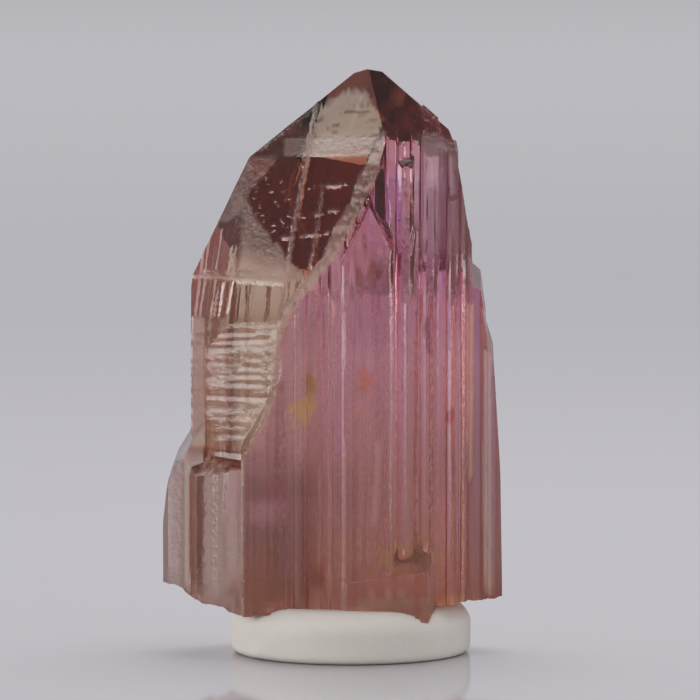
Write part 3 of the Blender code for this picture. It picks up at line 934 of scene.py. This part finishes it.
@dataclass
class Crystal:
    """The tanzanite: one solid of parallel columns, with its growth relief."""

    node: str = "crystal"
    across_cut_mm: float = 0.10
    height_cut_mm: float = 0.13
    coarse_cut_mm: float = 0.42
    steps_cut_mm: float = 0.08
    fine_from_mm: float = 7.4
    steps_to_mm: float = 12.8
    fine_to_mm: float = 20.6
    tip_rows: tuple[float, float] = (84.0, 92.0)
    groove_mm: float = 0.03
    break_depth_mm: float = 0.06
    sharp_degrees: float = 9.0
    back_shift_mm: float = 1.9
    back_strength: float = 0.45
    side_strength: float = 0.4
    attribute: str = "growth_zones"
    seed: int = 5
    zones: GrowthZones = field(default_factory=GrowthZones)
    piece: bpy.types.Object | None = field(default=None, init=False)

    def build(self, solid: bpy.types.Object) -> bpy.types.Object:
        """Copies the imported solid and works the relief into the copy.

        Args:
            solid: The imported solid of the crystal.

        Returns:
            The finished, dressed crystal.
        """
        take(solid)
        bpy.ops.object.duplicate()
        self.piece = bpy.context.object
        self.piece.name = "tanzanite"
        self.piece.parent = None
        for key in list(self.piece.keys()):
            del self.piece[key]
        self._merge()
        take(self.piece)
        bpy.ops.object.shade_smooth_by_angle(angle=math.radians(self.sharp_degrees))
        self._slice()
        self._work_relief()
        self.piece.data.materials.clear()
        self.piece.data.materials.append(ClearTanzanite(attribute=self.attribute).make())
        return self.piece

    def _merge(self) -> None:
        """Makes one surface of the loose triangles, with each flat face whole."""
        take(self.piece)
        bpy.ops.object.mode_set(mode="EDIT")
        bpy.ops.mesh.select_all(action="SELECT")
        bpy.ops.mesh.remove_doubles(threshold=0.002 * MM)
        bpy.ops.mesh.dissolve_limited(angle_limit=math.radians(0.4))
        bpy.ops.object.mode_set(mode="OBJECT")

    def _slice(self) -> None:
        """Cuts the surface into upright strips and then across, so that it can carry relief.

        The mesh is cut in one go in memory, because the bisect operator would take minutes.
        """
        chance = random.Random(self.seed)
        shape = bmesh.new()
        shape.from_mesh(self.piece.data)
        low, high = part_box(self.node)
        cuts = []
        for axis in range(3):
            place = low[axis] + self.across_cut_mm * MM * 0.6
            while place < high[axis]:
                cuts.append((axis, place))
                spacing = self.across_cut_mm
                if axis == 2:
                    spacing = self.spacing_at(place / MM)
                place += spacing * MM * chance.uniform(0.85, 1.15)
        for axis, place in cuts:
            point, normal = Vector((0, 0, 0)), Vector((0, 0, 0))
            point[axis], normal[axis] = place, 1.0
            parts = shape.verts[:] + shape.edges[:] + shape.faces[:]
            bmesh.ops.bisect_plane(shape, geom=parts, dist=1e-6, plane_co=point, plane_no=normal)
        bmesh.ops.remove_doubles(shape, verts=shape.verts, dist=0.003 * MM)
        bmesh.ops.triangulate(shape, faces=[face for face in shape.faces if len(face.verts) > 4])
        shape.to_mesh(self.piece.data)
        shape.free()

    def spacing_at(self, height_mm: float) -> float:
        """Gives the distance to the next level cut, which is closest where the growth steps are."""
        if self.fine_from_mm < height_mm < self.steps_to_mm:
            return self.steps_cut_mm
        return self.height_cut_mm if self.steps_to_mm <= height_mm < self.fine_to_mm else self.coarse_cut_mm

    def _work_relief(self) -> None:
        """Moves the points of the sliced surface by the relief, and writes the zones' colours on them."""
        mesh = self.piece.data
        points = Points(mesh)
        reach = self._relief(points) * rise(points.rows, *self.tip_rows) * MM
        mesh.vertices.foreach_set("co", (points.places + points.normals * reach[:, None]).ravel())
        layer = mesh.attributes.new(self.attribute, "FLOAT_COLOR", "POINT")
        layer.data.foreach_set("color", self._shades(points).astype(np.float32).ravel())
        mesh.update()

    def _relief(self, points: Points) -> np.ndarray:
        """Works out the relief of the whole crystal.

        Args:
            points: The points of its surface.

        Returns:
            The relief at each point, in millimetres outwards.
        """
        x, y, z, normals = points.x, points.y, points.z, points.normals
        columns, rows, front = points.columns, points.rows, points.front
        border = self.zones.curve("border", rows)
        upright = rise(np.abs(normals[:, 2]), 0.35, 0.15)
        window = self.zones.lift(columns, rows, Zone.WINDOW) * rise(columns, border + 1.0, border - 1.0)
        in_columns = rise(columns, border - 1.0, border + 1.0)
        ribs = self.zones.lift(columns, rows, Zone.COLUMNS) * in_columns * upright
        around = np.where(np.abs(normals[:, 1]) > np.abs(normals[:, 0]), x, y + 40.0)
        grooves = wander(around * 1.5, z * 0.04, 32.0) + 0.4 * wander(around * 3.6, z * 0.09, 33.0)
        relief = front * (window + ribs) + (1.0 - front) * (grooves * self.groove_mm * upright)
        broken = wander(x * 2.4 + y, z * 2.4 + y * 1.3, 34.0)
        broken = broken + 0.5 * wander(x * 6.0, z * 6.0 + y * 5.0, 35.0)
        under = rise(z, 3.6, 2.6) * rise(normals[:, 2], -0.1, -0.4)
        relief = relief + broken * self.break_depth_mm * under
        for seam in self.zones.seams:
            relief = relief + seam.relief(columns, rows) * front
        return relief

    def _shades(self, points: Points) -> np.ndarray:
        """Works out the whole crystal's colours: its back and sides have a weaker, shifted copy.

        Args:
            points: The points of its surface.

        Returns:
            Red, green, blue and the roughness at each point.
        """
        columns, rows, front = points.columns, points.rows, points.front
        fray = wander(points.x * 3.0, points.z * 1.5, 31.0)
        colour, rough = self.zones.tint(columns, rows, fray)
        shifted = columns - self.back_shift_mm / PICTURE.mm_per_pixel
        behind, _ = self.zones.tint(shifted, rows, fray * 0.0)
        strength = self.back_strength + self.side_strength * np.abs(points.normals[:, :1])
        behind = 1.0 + (behind.mean(axis=1, keepdims=True) * 0.2 + behind * 0.8 - 1.0) * strength
        shown = behind + (colour - behind) * front[:, None]
        border = self.zones.curve("border", rows)
        rough_back = POLISHED + 0.30 * rise(columns, border + 30.0, border + 60.0)
        rough = rough_back + (rough - rough_back) * front
        return np.concatenate([shown ** 2, rough[:, None]], axis=1)


@dataclass
class PuttyDisc:
    """The disc of display putty, pressed flat, with the crystal's foot sunk into it."""

    node: str = "putty_disc"
    centre_x_mm: float = 0.70
    radius_mm: float = 4.56
    height_mm: float = 1.95
    rim_mm: float = 0.85
    foot_mm: float = 0.30
    wobble_mm: float = 0.07
    lump_mm: float = 0.05
    clearance_mm: float = 0.03
    dents: tuple[tuple[float, float, float], ...] = (
        (200.0, 14.0, 0.10),
        (318.0, 20.0, 0.08),
        (70.0, 24.0, 0.12),
    )
    around: int = 176
    rings: int = 112
    piece: bpy.types.Object | None = field(default=None, init=False)

    def build(self, stone: bpy.types.Object) -> bpy.types.Object:
        """Models the disc and presses the crystal's foot into it.

        Args:
            stone: The finished crystal, whose underside prints the putty.

        Returns:
            The finished, dressed putty.
        """
        deselect()
        bpy.ops.mesh.primitive_uv_sphere_add(segments=self.around, ring_count=self.rings, radius=MM)
        self.piece = bpy.context.object
        self.piece.name = "pressed_putty"
        settle(self.piece)
        self._press(stone)
        take(self.piece)
        bpy.ops.object.shade_smooth()
        self.piece.data.materials.clear()
        self.piece.data.materials.append(DisplayPutty().make())
        return self.piece

    def outline(self) -> tuple[np.ndarray, np.ndarray]:
        """Gives the disc's half section in millimetres, from the middle of its top to its foot's.

        Returns:
            The radius and the height of each point.
        """
        points = [(0.0, self.height_mm)]
        for step in range(9):
            turn = math.pi / 2 * step / 8
            points.append((
                self.radius_mm - self.rim_mm * (1 - math.sin(turn)),
                self.height_mm - self.rim_mm * (1 - math.cos(turn)),
            ))
        for step in range(5):
            turn = math.pi / 2 * step / 4
            points.append((
                self.radius_mm - self.foot_mm * (1 - math.cos(turn)),
                self.foot_mm * (1 - math.sin(turn)),
            ))
        points.append((0.0, 0.0))
        shape = np.array(points)
        return shape[:, 0], shape[:, 1]

    def _press(self, stone: bpy.types.Object) -> None:
        """Turns the ball into the pressed disc.

        Args:
            stone: The finished crystal.
        """
        mesh = self.piece.data
        places = np.empty(len(mesh.vertices) * 3)
        mesh.vertices.foreach_get("co", places)
        places = places.reshape(-1, 3) / MM
        turn = np.arctan2(places[:, 1], places[:, 0])
        share = np.arccos(np.clip(places[:, 2], -1.0, 1.0)) / math.pi
        radii, heights = self.outline()
        lengths = np.concatenate([[0.0], np.cumsum(np.hypot(np.diff(radii), np.diff(heights)))])
        radius = np.interp(share * lengths[-1], lengths, radii)
        height = np.interp(share * lengths[-1], lengths, heights)
        rise_share = height / self.height_mm
        swell = self.wobble_mm * np.sin(2 * turn + 0.6) * rise_share
        for middle, spread, depth in self.dents:
            away = np.abs((np.degrees(turn) - middle + 180.0) % 360.0 - 180.0)
            swell = swell - depth * rise(away, spread, 0.0) * rise_share
        lumps = wander(np.cos(turn) * radius * 0.5, np.sin(turn) * radius * 0.5 + height, 51.0)
        swell = swell + lumps * self.lump_mm * rise_share - self.lump_mm * 0.4
        radius = radius * (1.0 + swell / self.radius_mm)
        height = height + lumps * self.lump_mm * rise(height, 1.2, 1.7) - self.lump_mm * 0.5 * rise_share
        x, y = self.centre_x_mm + radius * np.cos(turn), radius * np.sin(turn)
        corners_of = [vert.co[:] for vert in stone.data.vertices]
        faces = [tuple(face.vertices) for face in stone.data.polygons]
        foot = BVHTree.FromPolygons(corners_of, faces)
        for index, (a, b, c) in enumerate(zip(x.tolist(), y.tolist(), height.tolist())):
            if c < self.foot_mm:
                continue
            hit = foot.ray_cast(Vector((a, b, -1.0)) * MM, Vector((0.0, 0.0, 1.0)))[0]
            if hit is not None:
                height[index] = min(c, max(hit.z / MM - self.clearance_mm, self.foot_mm))
        mesh.vertices.foreach_set("co", (np.stack([x, y, height], axis=1) * MM).ravel())
        mesh.update()


@dataclass(frozen=True)
class Lamp:
    """A soft lamp: its place and aim in metres, its width and height in metres, and its power in watts."""

    name: str
    place: tuple[float, float, float]
    aim: tuple[float, float, float]
    size: tuple[float, float]
    power: float
    lights_floor: bool = False


LAMPS = (
    Lamp("overhead", (0.02, 0.04, 0.16), (0.0, 0.0, 0.01), (0.16, 0.12), 0.16, True),
    Lamp("low_left", (-0.12, -0.062, 0.022), (0.0, 0.0, 0.01), (0.11, 0.07), 0.080),
    Lamp("rim_left", (-0.118, 0.054, 0.025), (0.0, 0.0, 0.01), (0.035, 0.05), 0.020),
    Lamp("low_right", (0.10, -0.10, 0.03), (0.0, 0.0, 0.02), (0.03, 0.07), 0.032),
    Lamp("fill", (-0.03, -0.34, 0.10), (0.0, 0.0, 0.008), (0.20, 0.16), 0.02),
)


@dataclass
class Studio:
    """The floor, the light and the camera."""

    bright: tuple[float, float, float] = (0.530, 0.522, 0.555)
    dim: tuple[float, float, float] = (0.28, 0.275, 0.287)
    dim_to_bright: tuple[float, float] = (-0.45, 0.35)
    floor_colour: tuple[float, float, float, float] = (0.62, 0.605, 0.63, 1.0)
    floor_roughness: float = 0.06
    floor_radius: float = 30.0
    sensor_mm: float = 36.0

    def build(self, lit: list[bpy.types.Object]) -> None:
        """Makes the whole setting.

        Args:
            lit: The pieces that the small lamps light. The floor doesn't mirror those lamps.
        """
        self._floor()
        self._room()
        self._lamps(lit)
        self._camera()

    def _floor(self) -> None:
        """Lays the glossy pale floor, so wide that its edge never shows."""
        deselect()
        bpy.ops.mesh.primitive_circle_add(vertices=96, radius=self.floor_radius, fill_type="NGON")
        floor = bpy.context.object
        floor.name = "gloss_floor"
        finish = Recipe(bpy.data.materials.new("gloss_floor"))
        finish.shader.inputs["Base Color"].default_value = self.floor_colour
        finish.shader.inputs["Roughness"].default_value = self.floor_roughness
        floor.data.materials.append(finish.owner)

    def _room(self) -> None:
        """Sets the pale backdrop and the darker room on the camera's side."""
        room = Recipe(bpy.data.worlds.new("studio"), "Background")
        where = room.node("ShaderNodeTexCoord", None, None, "Generated")
        behind = room.node("ShaderNodeSeparateXYZ", None, {0: where}, "Y").past(*self.dim_to_bright)
        room.feed(room.shader.inputs["Color"], room.blend(self.dim, self.bright, behind))
        bpy.context.scene.world = room.owner

    def _lamps(self, lit: list[bpy.types.Object]) -> None:
        """Sets up the soft lamps, which the camera doesn't see.

        Args:
            lit: The pieces that the small lamps light.
        """
        pieces = bpy.data.collections.new("lit_pieces")
        for piece in lit:
            pieces.objects.link(piece)
        for lamp in LAMPS:
            deselect()
            bpy.ops.object.light_add(type="AREA", location=lamp.place)
            light = bpy.context.object
            light.name = lamp.name
            light.data.shape = "RECTANGLE"
            light.data.size, light.data.size_y = lamp.size
            light.data.energy = lamp.power
            light.visible_camera = False
            if not lamp.lights_floor:
                light.light_linking.receiver_collection = pieces
            aim = Vector(lamp.aim) - Vector(lamp.place)
            light.rotation_euler = aim.to_track_quat("-Z", "Y").to_euler()

    def _camera(self) -> None:
        """Sets the camera at the photograph's viewing angle."""
        turn = math.radians(PICTURE.elevation)
        distance = PICTURE.distance_mm * MM
        half = PICTURE.width / 2
        aim = Vector((PICTURE.across(half) * MM, 0.0, PICTURE.up(half) * MM))
        place = aim + Vector((0.0, -math.cos(turn), math.sin(turn))) * distance
        deselect()
        bpy.ops.object.camera_add(location=place, rotation=(math.pi / 2 - turn, 0.0, 0.0))
        camera = bpy.context.object
        camera.data.sensor_width = self.sensor_mm
        camera.data.lens = self.sensor_mm * distance / (PICTURE.width * PICTURE.mm_per_pixel * MM)
        camera.data.clip_start = 0.002
        camera.data.clip_end = 100.0
        bpy.context.scene.camera = camera
        bpy.context.scene.view_settings.view_transform = "Standard"


def main() -> None:
    """Builds the pieces in order."""
    logging.basicConfig(level=logging.INFO, format="%(name)s: %(message)s")
    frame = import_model()
    crystal = Crystal()
    stone = crystal.build(frame["nodes"][crystal.node])
    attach(stone, "root")
    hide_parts(crystal.node)
    LOG.info("%s has %d faces", stone.name, len(stone.data.polygons))
    disc = PuttyDisc()
    putty = disc.build(stone)
    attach(putty, "root")
    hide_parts(disc.node)
    LOG.info("%s has %d faces", putty.name, len(putty.data.polygons))
    Studio().build([stone, putty])


if __name__ == "__main__":
    main()
